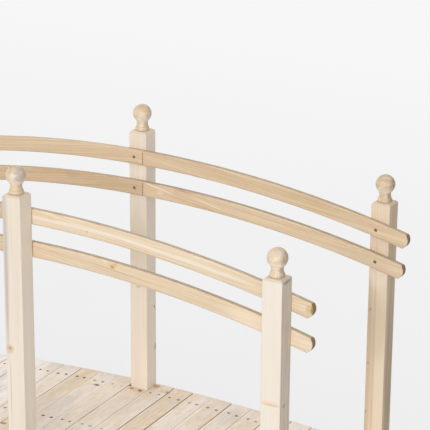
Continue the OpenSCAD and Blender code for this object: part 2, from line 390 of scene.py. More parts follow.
def timber_group():
    """Softwood cut from a log. Place holds the distance along the grain and the two across it."""
    group = bpy.data.node_groups.new("softwood", "ShaderNodeTree")
    for name, kind in TIMBER_INPUTS.items():
        group.interface.new_socket(name, in_out="INPUT", socket_type="NodeSocket" + kind)
    group.interface.new_socket("Color", in_out="OUTPUT", socket_type="NodeSocketColor")
    group.interface.new_socket("Height", in_out="OUTPUT", socket_type="NodeSocketFloat")
    n = Nodes(group)
    given = group.nodes.new("NodeGroupInput").outputs

    place, luck = place_in_log(n, given)
    knot, halo, near = knots(n, place, given["Knots"])
    distance = n.times_add(halo, KNOT_BEND, pith_distance(n, given, place, luck))
    late = late_wood(n, place, n.math("DIVIDE", distance, given["Ring"]), luck)

    # Streaks and fibres run along the grain
    short = n.vector("MULTIPLY", place, n.join(given["Short"], 1.0, 1.0))
    broad = n.noise(short, BROAD_RATE, roughness=0.55)
    thin = n.noise(short, THIN_RATE, roughness=0.6)
    fibre = n.noise(place, FIBRE_RATE, roughness=0.7)
    blotch = n.noise(place, BLOTCH_RATE, detail=4.0, roughness=0.6)
    streak = n.sway(n.sway(0.0, broad, 0.6), thin, 0.9)

    # How much of the late wood's colour each place has
    amount = n.times_add(late, given["Figure"], 0.25)
    amount = n.times_add(streak, given["Streaks"], amount)
    amount = n.sway(amount, blotch, given["Mottle"])
    amount = n.math("MAXIMUM", amount, n.times(halo, 0.5))
    colour = n.mix(amount, given["Early"], given["Late"])

    tone = n.sway(n.sway(0.97, blotch, n.times(given["Mottle"], 0.25)), fibre, 0.10)
    colour = n.darken(colour, 1.0, tone)
    warmth = n.ramp(n.noise(short, WARM_RATE), 0.35, 0.65)
    colour = n.darken(colour, 1.0, n.mix(warmth, (1.0, 0.98, 0.98, 1.0), (0.99, 0.995, 0.96, 1.0)))
    rings = n.math("FRACT", n.times(near, 40.0))
    core = n.mix(rings, rgb(150, 104, 66), rgb(118, 76, 46))
    colour = n.mix(n.times(knot, 0.85), colour, core)
    height = n.add(n.times(late, 0.35), n.times(fibre, 0.65))
    n.give(group.nodes.new("NodeGroupOutput"), Height=n.minus(height, n.times(knot, 0.4)),
           Color=n.mix(given["End Grain"], colour, rgb(124, 96, 66)))
    return group


def part_place(n):
    """The place in the part's frame; every mesh has its place in its points."""
    return n.new("TexCoord").outputs["Object"]


def part_normal(n):
    return n.new("NewGeometry").outputs["Normal"]


def xyz(n):
    return n.split(part_place(n))


def facing(n, axis):
    return n.split(part_normal(n))[axis]


def add_spots(n, colour, spots):
    """Changes a colour at named places, one mark after the other; a tip turns a mark about Y."""
    for centre, reach, mark, strength, *tip in spots:
        offset = n.vector("SUBTRACT", part_place(n), [v * MM for v in centre])
        for angle in tip:
            turn = n.new("VectorRotate", rotation_type="Y_AXIS")
            offset = n.give(turn, Vector=offset, Angle=-math.radians(angle)).outputs[0]
        share = n.vector("LENGTH", n.vector("DIVIDE", offset, [v * MM for v in reach]))
        colour = n.mix(n.times(n.ramp(share, 1.0, 0.45), strength), colour, rgb(*mark))
    return colour


def own_numbers(n):
    """The seed and the tone that an object carries."""
    return n.of_object("seed"), n.of_object("tone")


def timber_material(kind, group, grain_frame, numbers=own_numbers, spots=(), finish=()):
    """A wood material. grain_frame gives the place in the grain's frame and the grain's direction, numbers
    the seed and the tone, from 0, pale, to 1, tan. The spots and the finish change the colour in turn."""
    pale, tan, looks, (low, high, most), roughness, bump = WOODS[kind]
    material, n, shader = new_material(kind + "_softwood")
    place, along = grain_frame(n)
    seed, tone = numbers(n)
    early, late = (n.mix(tone, rgb(*a), rgb(*b)) for a, b in zip(pale, tan))
    end_on = n.size(n.vector("DOT_PRODUCT", part_normal(n), along))
    figure = n.give(n.new("Group", node_tree=group), Place=place, Seed=seed, Early=early, Late=late,
                    End_Grain=n.ramp(end_on, low, high, to_high=most), **dict(zip(FIGURE, looks)))
    colour = add_spots(n, figure.outputs["Color"], spots)
    for change in finish:
        colour = change(n, colour)
    relief = n.give(n.new("Bump"), Strength=bump, Distance=0.25 * MM, Height=figure.outputs["Height"])
    n.give(shader, Base_Color=colour, Roughness=roughness, Specular_IOR_Level=0.35,
           Normal=relief.outputs["Normal"])
    return material


def upright_grain(n):
    x, y, z = xyz(n)
    return n.join(z, x, y), (0.0, 0.0, 1.0)


def crosswise_grain(n):
    """Boards: along Y, with the distance along the arch and the height across it."""
    x, y, z = xyz(n)
    rise = n.add(z, DECK_R - CROWN_H)
    arc = n.times(n.math("ARCTAN2", x, rise), DECK_R)
    return n.join(y, arc, n.minus(n.hypotenuse(x, rise), DECK_R)), (0.0, 1.0, 0.0)


def chord_grain(slope):
    """Bent pieces are sawn from straight planks, and the grain runs along the chord of each half."""
    def grain(n):
        x, y, z = xyz(n)
        ahead = n.size(x)
        along = n.minus(n.times(ahead, math.cos(slope)), n.times(z, math.sin(slope)))
        across = n.add(n.times(ahead, math.sin(slope)), n.times(z, math.cos(slope)))
        return n.join(along, y, across), (1.0, 0.0, 0.0)
    return grain


# ---- Finish of the rails ----

def sawn_and_shaded_edges(n, colour):
    """The narrow upper and lower faces of a rail are sawn, greyer than its planed sides, and darkened with
    painted shade.
    """
    up = n.size(facing(n, 2))
    rough = n.noise(part_place(n), (60.0, 300.0, 60.0), detail=3.0)
    grey = n.mix(n.ramp(rough, 0.3, 0.7), rgb(146, 126, 106), rgb(186, 166, 144))
    # Sawn grey and painted shade on the faces turned up or down
    return n.mix(n.times(n.ramp(up, 0.70, 0.92), n.of_object("edge")), colour, grey)


def sapwood_streak_and_sheen(n, colour):
    """A pale streak of sapwood, partly a painted sheen, along the middle of an upper rail, up to its end
    post.
    """
    x, _, z = xyz(n)
    rise = n.add(z, RAIL_R - RAIL_HEIGHTS["upper"])
    drift = n.noise(n.join(n.times(x, 6.0), 0.0, 0.0))
    middle = n.sway(RAIL_R + 1 * MM, drift, 14 * MM)
    off = n.size(n.minus(n.hypotenuse(x, rise), middle))
    side = n.size(facing(n, 1))
    mask = n.times(n.ramp(off, 7.5 * MM, 1.5 * MM), n.ramp(side, 0.6, 0.9))
    mask = n.times(mask, n.ramp(x, 0.68, 0.56))
    # Sapwood and painted sheen: paler along the middle of the rail's sides
    return n.paint(colour, mask, n.of_object("streak"), (244, 232, 218))


def lap_seam_shade(n, colour):
    """Painted shade in the open shoulder of the half-lap joint: dark where it meets a rail's side, more so at
    the left.
    """
    x, y, _ = xyz(n)
    side = facing(n, 1)
    strength = n.ramp(n.size(side), 0.7, 0.9, to_high=0.66)
    strength = n.times(strength, n.ramp(y, -CLEAR_W / 4, CLEAR_W / 4, 0.2, 1.0))
    off = n.size(n.times_add(x, n.math("SIGN", side), POST_W / 2))
    return n.paint(colour, n.ramp(off, 1.6 * MM, 0.7 * MM), strength, (112, 84, 58))


# ---- Finish of posts and finials ----

def end_grain_and_shaded_tops(n, colour):
    """The bevels round the top of a post, and its top, are end grain with painted shade: a little darker than
    its sides.
    """
    up = facing(n, 2)
    return n.paint(colour, n.ramp(up, 0.25, 0.5), 0.55, (208, 190, 166))


def weathered_and_shaded_end_side(n, colour):
    """Painted shade on the outward side of the end posts and their finials: darker, weathered wood with
    upright streaks.
    """
    # Painted shade: faces turned towards +X are made darker
    out = n.ramp(facing(n, 0), 0.55, 0.88)
    streak = n.noise(part_place(n), (260.0, 260.0, 5.0))
    tint = n.mix(n.ramp(streak, 0.36, 0.64), (0.68, 0.64, 0.61, 1.0), (0.82, 0.79, 0.74, 1.0))
    # The side number says how much painted shade an object gets; the streaks are weathering
    return n.darken(colour, n.times(out, n.of_object("side")), tint)


def ball_figure_and_painted_light(n, colour):
    """The turned balls cut through many rings: clouds of warm and pale wood, end grain and painted shade on
    top, painted shade on the +X side and painted light underneath.
    """
    place = part_place(n)
    cloud = n.noise(place, (62.0, 62.0, 95.0), detail=3.0, roughness=0.55)
    colour = n.paint(colour, n.ramp(cloud, 0.50, 0.64), 0.38, (224, 188, 150))
    colour = n.paint(colour, n.ramp(cloud, 0.47, 0.36), 0.5, (244, 232, 216))
    rings = n.math("SINE", n.times(n.noise(place, 34.0, detail=1.0), 60.0))
    colour = n.paint(colour, n.ramp(rings, 0.2, 1.0), 0.12, (196, 160, 122))
    x, _, z = n.split(part_normal(n))
    # End grain and painted shade: darker towards the top
    colour = n.darken(colour, n.ramp(z, 0.1, 0.95), (0.8, 0.78, 0.73, 1.0))
    # Painted shade: darker on the side facing +X
    colour = n.darken(colour, n.ramp(x, 0.45, 0.98), (0.82, 0.8, 0.77, 1.0))
    # Painted light: paler underneath, as if lit from below
    return n.paint(colour, n.ramp(z, -0.05, -0.75), 0.7, (255, 246, 230))


def neck_bands_and_crease_shade(n, colour):
    """The turned foot of a finial: a warm hollow, a pale rim, and painted shade for a fine groove and for the
    crease where it meets the post.
    """
    # The middle posts stand higher than the end posts by the height of their feet
    height = n.math("FLOORED_MODULO", n.minus(xyz(n)[2], POST_LEN), POST_FOOT)
    groove = n.size(n.minus(height, 10.8 * MM))
    colour = n.paint(colour, n.ramp(height, 10.5 * MM, 7.0 * MM), 0.20, (232, 192, 146))
    colour = n.paint(colour, n.ramp(height, 4.0 * MM, 2.6 * MM), 0.60, (252, 238, 216))
    # Painted shade: a dark line for a fine groove
    colour = n.paint(colour, n.ramp(groove, 1.1 * MM, 0.3 * MM), 0.35, (176, 142, 106))
    # Painted shade: the bottom of the foot, in the crease where it meets the post
    return n.paint(colour, n.ramp(height, 1.3 * MM, 0.5 * MM), 0.75, (136, 104, 74))


# ---- Finish of the deck ----

def board_noise(n, along, across, seed_share, detail=2.0):
    """Noise that is another on each board, by its rates along and across it, per metre."""
    x, y, _ = xyz(n)
    seed = n.times(n.of_face("seed"), seed_share)
    return n.noise(n.join(n.times(y, along), n.times(x, across), seed), detail=detail)


def grey_patches(n, colour):
    """Weathered grey patches on the deck, longer along the boards."""
    patch = board_noise(n, 5.0, 14.0, 1.0)
    return n.paint(colour, n.ramp(patch, 0.50, 0.72), 0.6, (218, 208, 200))


def fine_blotches(n, colour):
    """Small uneven patches that sanding leaves on softwood."""
    patch = board_noise(n, 34.0, 95.0, 1.9, detail=4.0)
    colour = n.paint(colour, n.ramp(patch, 0.50, 0.68), 0.35, (212, 192, 166))
    return n.paint(colour, n.ramp(patch, 0.46, 0.34), 0.35, (242, 232, 222))


def painted_edge_highlights(n, colour):
    """Painted highlight: the rear eased edge of each board is made pale in places, as if it caught the light.
    """
    along, arc, _ = n.split(crosswise_grain(n)[0])
    share = n.math("FLOORED_MODULO", n.math("DIVIDE", n.minus(arc, FIRST_SEAM), BOARD_PITCH), 1.0)
    luck = n.noise(n.join(n.times(along, 9.0), n.times(n.of_face("seed"), 5.3), 0.0))
    return n.paint(colour, n.ramp(share, 0.12, 0.05), n.ramp(luck, 0.42, 0.6, 0.0, 0.6), (255, 246, 228))


def seam_walls(n, colour):
    """The sawn sides of the boards are warm brown in the open seams."""
    wall = n.size(facing(n, 0))
    return n.paint(colour, n.ramp(wall, 0.6, 0.9), 0.85, (198, 172, 140))


def board_numbers(n):
    """A board's seed, and its own tone with warm and pale clouds."""
    clouds = n.sway(0.0, board_noise(n, 3.0, 24.0, 3.7), 2.4)
    return n.of_face("seed"), n.math("ADD", n.of_face("tone"), clouds, clamp=True)


# ---- Metal and holes ----

def steel_material(name, shade, roughness, metallic):
    material, n, shader = new_material(name)
    colour = rgb(*shade)
    darker = (*(c * 0.55 for c in colour[:3]), 1.0)
    blotch = n.noise(part_place(n), 900.0, detail=3.0)
    n.give(shader, Base_Color=n.mix(n.ramp(blotch, 0.35, 0.65), colour, darker), Metallic=metallic,
           Roughness=n.ramp(blotch, 0.3, 0.7, roughness - 0.1, roughness + 0.15))
    return material


def nail_material():
    """Cut steel heads, some rusty and some filled with sanding dust, by the shade of each."""
    material, n, shader = new_material("nail_steel")
    own = n.of_face("shade")
    dark = n.mix(n.ramp(own, 0.25, 0.6), rgb(84, 68, 50), rgb(148, 114, 80))
    colour = n.mix(n.ramp(own, 0.6, 1.0), dark, rgb(202, 182, 156))
    n.give(shader, Base_Color=colour, Metallic=0.1, Roughness=0.8, Specular_IOR_Level=0.15)
    return material


def hollow_shade_material():
    """Crushed wood and painted shade: dark round a nail, in a screw's hole and in the cross recesses of
    heads.
    """
    material, n, shader = new_material("hole_rim_shade")
    grain = n.noise(part_place(n), 1500.0)
    n.give(shader, Base_Color=n.mix(grain, rgb(92, 66, 44), rgb(134, 104, 74)), Roughness=0.9)
    return material


# ---- Meshes ----

WELD = 0.01 * MM
# How wide edges are eased, and which count as sharp
NODE_EASE = 0.5 * MM
BOARD_EASE = 1.4 * MM
RAIL_EASE = 1.2 * MM
NODE_SHARP = math.radians(25)
PIECE_SHARP = math.radians(40)
CRISP = math.radians(30)
# Corners of a rectangle from its middle
CORNERS = ((-1, -1), (1, -1), (1, 1), (-1, 1))


def make_object(name, bm, *materials):
    mesh = bpy.data.meshes.new(name)
    bm.to_mesh(mesh)
    bm.free()
    mesh.shade_smooth()
    piece = bpy.data.objects.new(name, mesh)
    bpy.context.scene.collection.objects.link(piece)
    for material in materials:
        mesh.materials.append(material)
    return piece


def ease(bm, width):
    """Rounds the sharp edges of a mesh."""
    edges = [e for e in bm.edges if len(e.link_faces) == 2 and e.calc_face_angle() > PIECE_SHARP]
    bmesh.ops.bevel(bm, geom=edges, offset=width, segments=3, profile=0.5, affect="EDGES",
                    clamp_overlap=True)


def soften_node(node):
    """Rounds the sharp edges of a CAD node that stays in view."""
    weld = node.modifiers.new("weld", "WELD")
    weld.merge_threshold = WELD
    bevel = node.modifiers.new("ease", "BEVEL")
    bevel.width = NODE_EASE
    bevel.segments = 2
    bevel.limit_method = "ANGLE"
    bevel.angle_limit = NODE_SHARP
    bevel.harden_normals = True


def smooth_by_angle(piece):
    """Keeps edges crisp where faces meet at a sharp angle."""
    mesh = piece.data
    mesh.shade_smooth()
    bm = bmesh.new()
    bm.from_mesh(mesh)
    for edge in bm.edges:
        edge.smooth = len(edge.link_faces) != 2 or edge.calc_face_angle() < CRISP
    bm.to_mesh(mesh)
    bm.free()


def lathe(bm, outline, frame_of, sides, material_index=0):
    """Turns an outline of (radius, height) points round the Z axis of a frame."""
    rings = []
    for radius, height in outline:
        angles = [2 * math.pi * k / sides for k in range(sides if radius else 1)]
        places = [Vector((radius * math.cos(t), radius * math.sin(t), height)) for t in angles]
        ring = [bm.verts.new(frame_of @ place) for place in places]
        rings.append(ring if radius else ring * sides)
    for lower, upper in zip(rings, rings[1:]):
        for k in range(sides):
            j = (k + 1) % sides
            corners = dict.fromkeys((lower[k], lower[j], upper[j], upper[k]))
            bm.faces.new(list(corners)).material_index = material_index


def fall(radius, x):
    """How far an arc has come down at a distance from its crown."""
    return radius - math.sqrt(radius * radius - x * x)


def stray(rng, most):
    """A distance by luck to either side; most is in millimetres."""
    return rng.uniform(-most, most) * MM


# ---- Deck boards ----

# Rows of cells between the posts, and columns of cells
INNER_ROWS = 12
COLUMNS = 3
# How far a board may fall short at its ends, be cupped, lean and wander, in millimetres
END_SHORT = (0.1, 1.3)
CUP = (-0.25, 0.35)
LEAN = (-0.2, 0.2)
WANDERING = (0.1, 0.35)
# Seams, in millimetres, and tones of the boards that the photograph doesn't show
OTHER_GAPS = (1.1, 2.7)
OTHER_BOARD_TONES = (0.1, 0.7)


def board_centre(i):
    """Angle of a board's middle from the crown."""
    return (FIRST_SEAM + (i + 0.5) * BOARD_PITCH) / DECK_R


def board_frame(i):
    """Takes (along the arch, across the bridge, above the board's middle) to the part's frame."""
    turn = Matrix.Rotation(board_centre(i), 4, "Y") @ Matrix.Translation((0, 0, DECK_R - BOARD_T / 2))
    return Matrix.Translation((0, 0, CROWN_H - DECK_R)) @ turn


def seam_gap(i):
    """Width of the open seam behind a board."""
    return SEAM_GAPS.get(i, random.Random(500 + i).uniform(*OTHER_GAPS)) * MM


def board_edges(i):
    """Places along the arch of a board's rear and front edge, from its middle."""
    rear = -BOARD_PITCH / 2 + SEAM_MOVES.get(i, 0) * MM + seam_gap(i) / 2
    front = BOARD_PITCH / 2 + SEAM_MOVES.get(i + 1, 0) * MM - seam_gap(i + 1) / 2
    return rear, front


def board_notch(i):
    """Where the notches round a pair of posts start and stop along the bridge, each None where it runs
    out over the board's edge, or None without a notch."""
    width = BOARD_PITCH - BOARD_GAP
    x = DECK_R * math.sin(board_centre(i))
    for end in ENDS.values():
        if abs(x - end * POST_PITCH) < (width + POST_W) / 2 + NOTCH_GAP:
            start = end * POST_PITCH - POST_W / 2 - NOTCH_GAP
            stop = end * POST_PITCH + POST_W / 2 + NOTCH_GAP
            start = None if start - (x - width / 2) < LEAST_TONGUE else start
            stop = None if (x + width / 2) - stop < LEAST_TONGUE else stop
            return start, stop
    return None


def board_rows(rng):
    """Places across the bridge at which a board has a row of points, with both notch lines among them."""
    inner = CLEAR_W / 2 - NOTCH_GAP
    right = DECK_HALF - rng.uniform(*END_SHORT) * MM
    left = DECK_HALF - rng.uniform(*END_SHORT) * MM
    inside = [inner * (2 * k / INNER_ROWS - 1) for k in range(INNER_ROWS + 1)]
    return [-right, -(inner + right) / 2] + inside + [(inner + left) / 2, left]


def board_lines(i, notch, w):
    """Four places along the arch at a height over a board's middle: its edges and two lines between them.
    A line of a notch runs upright in the part's frame."""
    angle = board_centre(i)
    middle = (DECK_R - BOARD_T / 2) * math.sin(angle)
    rear, front = board_edges(i)
    inner = [rear + (front - rear) / 3, rear + 2 * (front - rear) / 3]
    for k, x in enumerate(notch or ()):
        if x is not None:
            inner[k] = (x - middle - w * math.sin(angle)) / math.cos(angle)
    if inner[1] <= inner[0]:
        inner[0] = (rear + inner[1]) / 2
    return [rear, *inner, front]


def board_points(bm, i, notch, rows, rng):
    """A board's points by layer, 0 below and 1 above, row and column."""
    cup = rng.uniform(*CUP) * MM
    lean = rng.uniform(*LEAN) * MM
    phase = rng.uniform(0, 6.28)
    wander = rng.uniform(*WANDERING) * MM
    rear, front = board_edges(i)
    frame_of = board_frame(i)
    grid = {}
    for layer, w in enumerate((-BOARD_T / 2, BOARD_T / 2)):
        lines = board_lines(i, notch, w)
        for r, y in enumerate(rows):
            for c, u in enumerate(lines):
                edge = wander * math.sin(9.0 * y + phase) if c in (0, COLUMNS) else 0.0
                share = 2 * (u - rear) / (front - rear) - 1
                lift = (cup * (1 - share * share) + lean * share) if layer else 0.0
                grid[layer, r, c] = bm.verts.new(frame_of @ Vector((u + edge, y, w + lift)))
    return grid


def cut_away(notch, rows, column, row):
    """True where the notches take the board away."""
    if notch is None or CLEAR_W / 2 - NOTCH_GAP > abs((rows[row] + rows[row + 1]) / 2):
        return False
    first = 0 if notch[0] is None else 1
    last = 2 if notch[1] is None else 1
    return first <= column <= last


def build_board(bm, i):
    """One board: slightly cupped, with wandering edges and notches round the posts."""
    rng = random.Random(900 + i)
    notch = board_notch(i)
    rows = board_rows(rng)
    grid = board_points(bm, i, notch, rows, rng)
    kept = {(c, r) for r in range(len(rows) - 1) for c in range(COLUMNS) if not cut_away(notch, rows, c, r)}
    made = []
    for c, r in kept:
        corners = ((r, c), (r, c + 1), (r + 1, c + 1), (r + 1, c))
        lower, upper = ([grid[(layer, *corner)] for corner in corners] for layer in (0, 1))
        made += [bm.faces.new(lower[::-1]), bm.faces.new(upper)]
        for k, neighbour in ((0, (c, r - 1)), (2, (c, r + 1)), (3, (c - 1, r)), (1, (c + 1, r))):
            if neighbour not in kept:
                j = (k + 1) % 4
                made.append(bm.faces.new([lower[k], lower[j], upper[j], upper[k]]))
    return made


def build_deck(group):
    """The boards, each with its own seed and tone, in place of the plain ones."""
    material = timber_material("deck", group, crosswise_grain, board_numbers, DECK_SPOTS,
                               (grey_patches, fine_blotches, painted_edge_highlights, seam_walls))
    for node, (first, last) in BOARD_NODES.items():
        bm = bmesh.new()
        seed = bm.faces.layers.float.new("seed")
        tone = bm.faces.layers.float.new("tone")
        for i in range(first, last + 1):
            own_tone = BOARD_TONES.get(i, random.Random(70 + i).uniform(*OTHER_BOARD_TONES))
            for face in build_board(bm, i):
                face[seed] = i * 0.37 + 11.3
                face[tone] = own_tone
        loose = [v for v in bm.verts if not v.link_faces]
        bmesh.ops.delete(bm, geom=loose, context="VERTS")
        bmesh.ops.recalc_face_normals(bm, faces=bm.faces)
        ease(bm, BOARD_EASE)
        piece = make_object(node + "_planks", bm, material)
        smooth_by_angle(piece)
        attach(piece, "root")
        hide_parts(node)


# ---- Nails and screws ----

# Materials of the fasteners, in this order: the metal, then crushed wood with painted shade for the dark
# hollows
METAL, RIM_SHADE = 0, 1

# Outlines are (radius, height over the wood)
NAIL_R = 3.7 * MM
NAIL_SIDES = 14
# a dark ring just over the wood, painted shade of a small dent
NAIL_DENT_SHADE = [(NAIL_R + 0.9 * MM, 0.04 * MM), (NAIL_R, 0.08 * MM)]
NAIL_HEAD = [(NAIL_R, 0.10 * MM), (NAIL_R, 0.28 * MM), (NAIL_R * 0.8, 0.38 * MM), (0, 0.42 * MM)]
# How far nails are from a board's middle, and may stray along the bridge and across, in millimetres
NAIL_SPREAD = 13 * MM
NAIL_STRAY = (1.6, 2.5)

# A countersunk head in the flared hole that is cut for it
SCREW_R = 3.9 * MM
SCREW_FLARE = 0.6 * MM
SCREW_SUNK = -0.9 * MM
SCREW_FLOOR = -1.6 * MM
SCREW_SIDES = 20
# a dark sheet lining the flared hole: crushed wood and painted shade
SCREW_RIM = [(SCREW_R + SCREW_FLARE, 0.05 * MM), (SCREW_R, SCREW_SUNK)]
SCREW_HEAD = [(SCREW_R, SCREW_SUNK), (SCREW_R * 0.9, SCREW_SUNK + 0.15 * MM), (0, SCREW_SUNK + 0.2 * MM)]
SCREW_CROSS = (2.3 * MM, 0.45 * MM, SCREW_SUNK + 0.26 * MM)
HOLE_SIDES = 24
HOLE = [(0, 1 * MM), (SCREW_R + 1.1 * MM, 1 * MM), (SCREW_R + SCREW_FLARE, 0),
        (SCREW_R, SCREW_SUNK), (SCREW_R, SCREW_FLOOR), (0, SCREW_FLOOR)]
# How far screws are inside the middle of an end post, and may stray along and upwards, in millimetres
SCREW_INSIDE = 4 * MM
SCREW_STRAY = (1.5, 1.0)

# A domed head on a washer, and its places at a post: along the bridge and below the beam's top
WASHER = [(6.5 * MM, 0), (6.5 * MM, 0.9 * MM), (6.0 * MM, 1.1 * MM), (4.2 * MM, 1.1 * MM)]
DOME = [(4.2 * MM, 1.1 * MM), (4.1 * MM, 2.0 * MM), (3.2 * MM, 2.9 * MM), (1.7 * MM, 3.3 * MM), (0, 3.4 * MM)]
DOME_CROSS = (2.0 * MM, 0.4 * MM, 3.45 * MM)
DOME_TURN = 0.4
DOME_PLACES = [(-11 * MM, 24 * MM), (11 * MM, 60 * MM)]


def build_nails(rim):
    """Two nails where each board crosses each beam: slightly domed heads, each in a thin dark ring of painted
    shade for a small dent.
    """
    bm = bmesh.new()
    shade_of = bm.faces.layers.float.new("shade")
    rng = random.Random(41)
    for first, last in BOARD_NODES.values():
        for i in range(first, last + 1):
            for y in BEAM_YS.values():
                for side in (-1, 1):
                    u = side * NAIL_SPREAD + stray(rng, NAIL_STRAY[0])
                    v = y + stray(rng, NAIL_STRAY[1])
                    place = board_frame(i) @ Matrix.Translation((u, v, BOARD_T / 2))
                    before = len(bm.faces)
                    lathe(bm, NAIL_DENT_SHADE, place, NAIL_SIDES, RIM_SHADE)
                    lathe(bm, NAIL_HEAD, place, NAIL_SIDES, METAL)
                    bm.faces.ensure_lookup_table()
                    own = rng.random()
                    if y > 0 and i in NAIL_SHADES:
                        own = NAIL_SHADES[i] + 0.2 * (own - 0.5)
                    for face in bm.faces[before:]:
                        face[shade_of] = own
    piece = make_object("deck_nails", bm, nail_material(), rim)
    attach(piece, "root")


def inner_face(x, side, inset, z):
    """A place on the inner face of a rail or a beam, with Z out of the wood."""
    place = Matrix.Translation((x, side * (CLEAR_W / 2 - inset), z))
    return place @ Matrix.Rotation(side * math.pi / 2, 4, "X")


def painted_cross_recess(bm, frame_of, half_length, half_width, height):
    """Two dark bars across a head: painted shade of a cross recess."""
    for quarter in (0, 1):
        cross = frame_of @ Matrix.Rotation(quarter * math.pi / 2, 4, "Z")
        ring = [bm.verts.new(cross @ Vector((a * half_length, b * half_width, height))) for a, b in CORNERS]
        bm.faces.new(ring).material_index = RIM_SHADE


def screw_places():
    """One screw where each rail crosses each post: its side, level, frame and turn."""
    rng = random.Random(17)
    places = []
    for side in SIDES.values():
        for level, height in RAIL_HEIGHTS.items():
            for end in ENDS.values():
                x = end * (POST_PITCH - SCREW_INSIDE) + stray(rng, SCREW_STRAY[0])
                z = height - fall(RAIL_R, x) + stray(rng, SCREW_STRAY[1])
                places.append((side, level, inner_face(x, side, RAIL_T, z), rng.uniform(0, 1.5)))
    return places


def build_screws(rim):
    """Countersunk heads with a cross recess, a little below the face of the rails."""
    bm = bmesh.new()
    for _, _, frame_of, turn in screw_places():
        turned = frame_of @ Matrix.Rotation(turn, 4, "Z")
        lathe(bm, SCREW_RIM, frame_of, SCREW_SIDES, RIM_SHADE)
        lathe(bm, SCREW_HEAD, turned, SCREW_SIDES, METAL)
        painted_cross_recess(bm, turned, *SCREW_CROSS)
    piece = make_object("rail_screws", bm, steel_material("screw_steel", (158, 132, 90), 0.5, 0.2), rim)
    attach(piece, "root")


def build_beam_screws(rim):
    """Two screws with washers hold each side beam to each post, from the beam's inner face."""
    bm = bmesh.new()
    for side in SIDES.values():
        for end in ENDS.values():
            x = end * POST_PITCH
            top = CROWN_H - BOARD_T - fall(DECK_R, x)
            for step, drop in DOME_PLACES:
                frame_of = inner_face(x + step, side, BEAM_T, top - drop)
                lathe(bm, WASHER, frame_of, SCREW_SIDES, METAL)
                lathe(bm, DOME, frame_of, SCREW_SIDES, METAL)
                painted_cross_recess(bm, frame_of @ Matrix.Rotation(DOME_TURN, 4, "Z"), *DOME_CROSS)
    piece = make_object("beam_screws", bm, steel_material("zinc_steel", (176, 172, 160), 0.4, 1.0), rim)
    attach(piece, "root")


# ---- Seeds and tones ----

# Tone of each piece that the photograph shows, from 0, pale, to 1, tan, and the range of the others
TONES = {
    "finial_left_middle": 0.5, "finial_left_front": 1.0, "finial_right_middle": 0.15,
    "finial_right_front": 0.0, "post_left_middle": 0.2, "post_left_front": 0.9,
    "post_right_middle": 0.25, "post_right_front": 0.0, "upper_rail_left_rear": 0.7,
    "upper_rail_left_front": 0.65, "lower_rail_left_rear": 0.95, "lower_rail_left_front": 0.65,
    "upper_rail_right_front": 0.1, "lower_rail_right_front": 0.25,
}
OTHER_TONES = (0.1, 0.6)
SEEDS = (1, 60)


def give_luck(piece, name, rng):
    """A seed and a tone; each piece draws both, so that the others keep theirs."""
    piece["seed"] = rng.uniform(*SEEDS)
    piece["tone"] = TONES.get(name, rng.uniform(*OTHER_TONES))


# ---- Rails ----

# How much shorter than the CAD rail each rail is, and each of the others, in millimetres
RAIL_TRIMS = {
    "upper_rail_left_front": 0, "lower_rail_left_front": 10,
    "upper_rail_right_front": 4.5, "lower_rail_right_front": 4.5,
}
OTHER_TRIMS = 4
# What lies past here is a rail's round end
RAIL_END = POST_PITCH + 40 * MM
# How grey and darkened by painted shade the sawn edges of each rail are, and of each of the others
SAWN_AND_SHADED_EDGES = {
    "upper_rail_left_rear": 0.15, "lower_rail_left_rear": 0.25, "upper_rail_left_front": 0.7,
    "lower_rail_left_front": 0.7, "upper_rail_right_front": 0.7, "lower_rail_right_front": 0.7,
}
OTHER_EDGES = 0.6
# How strong the streak of sapwood and its painted sheen is
SAP_STREAKS_AND_SHEEN = {"upper_rail_right_front": 0.6}


def trim_end(bm, length):
    """Shortens a rail at its round end: what lies past the end post turns back round the arc's centre."""
    for v in bm.verts:
        if abs(v.co.x) > RAIL_END:
            turn = Matrix.Rotation(-math.copysign(length / RAIL_R, v.co.x), 4, "Y")
            centre = Vector((0, v.co.y, RAIL_HEIGHTS["upper"] - RAIL_R))
            v.co = centre + turn @ (v.co - centre)


def countersinks(side, level, first, last):
    """Closed cutters for the screw holes of one rail, from its first to its last place."""
    bm = bmesh.new()
    for at_side, at_level, frame_of, _ in screw_places():
        if at_side == side and at_level == level and first < frame_of.translation.x < last:
            lathe(bm, HOLE, frame_of, HOLE_SIDES)
    bmesh.ops.recalc_face_normals(bm, faces=bm.faces)
    return bm


def cut_with(piece, cutters):
    """Takes closed cutters out of a piece for good."""
    tool = make_object("cutters", cutters, piece.data.materials[0])
    cut = piece.modifiers.new("cut", "BOOLEAN")
    cut.operation = "DIFFERENCE"
    cut.solver = "EXACT"
    cut.object = tool
    graph = bpy.context.evaluated_depsgraph_get()
    mesh = bpy.data.meshes.new_from_object(piece.evaluated_get(graph), depsgraph=graph)
    piece.modifiers.clear()
    old, piece.data = piece.data, mesh
    bpy.data.meshes.remove(old)
    bpy.data.objects.remove(tool)


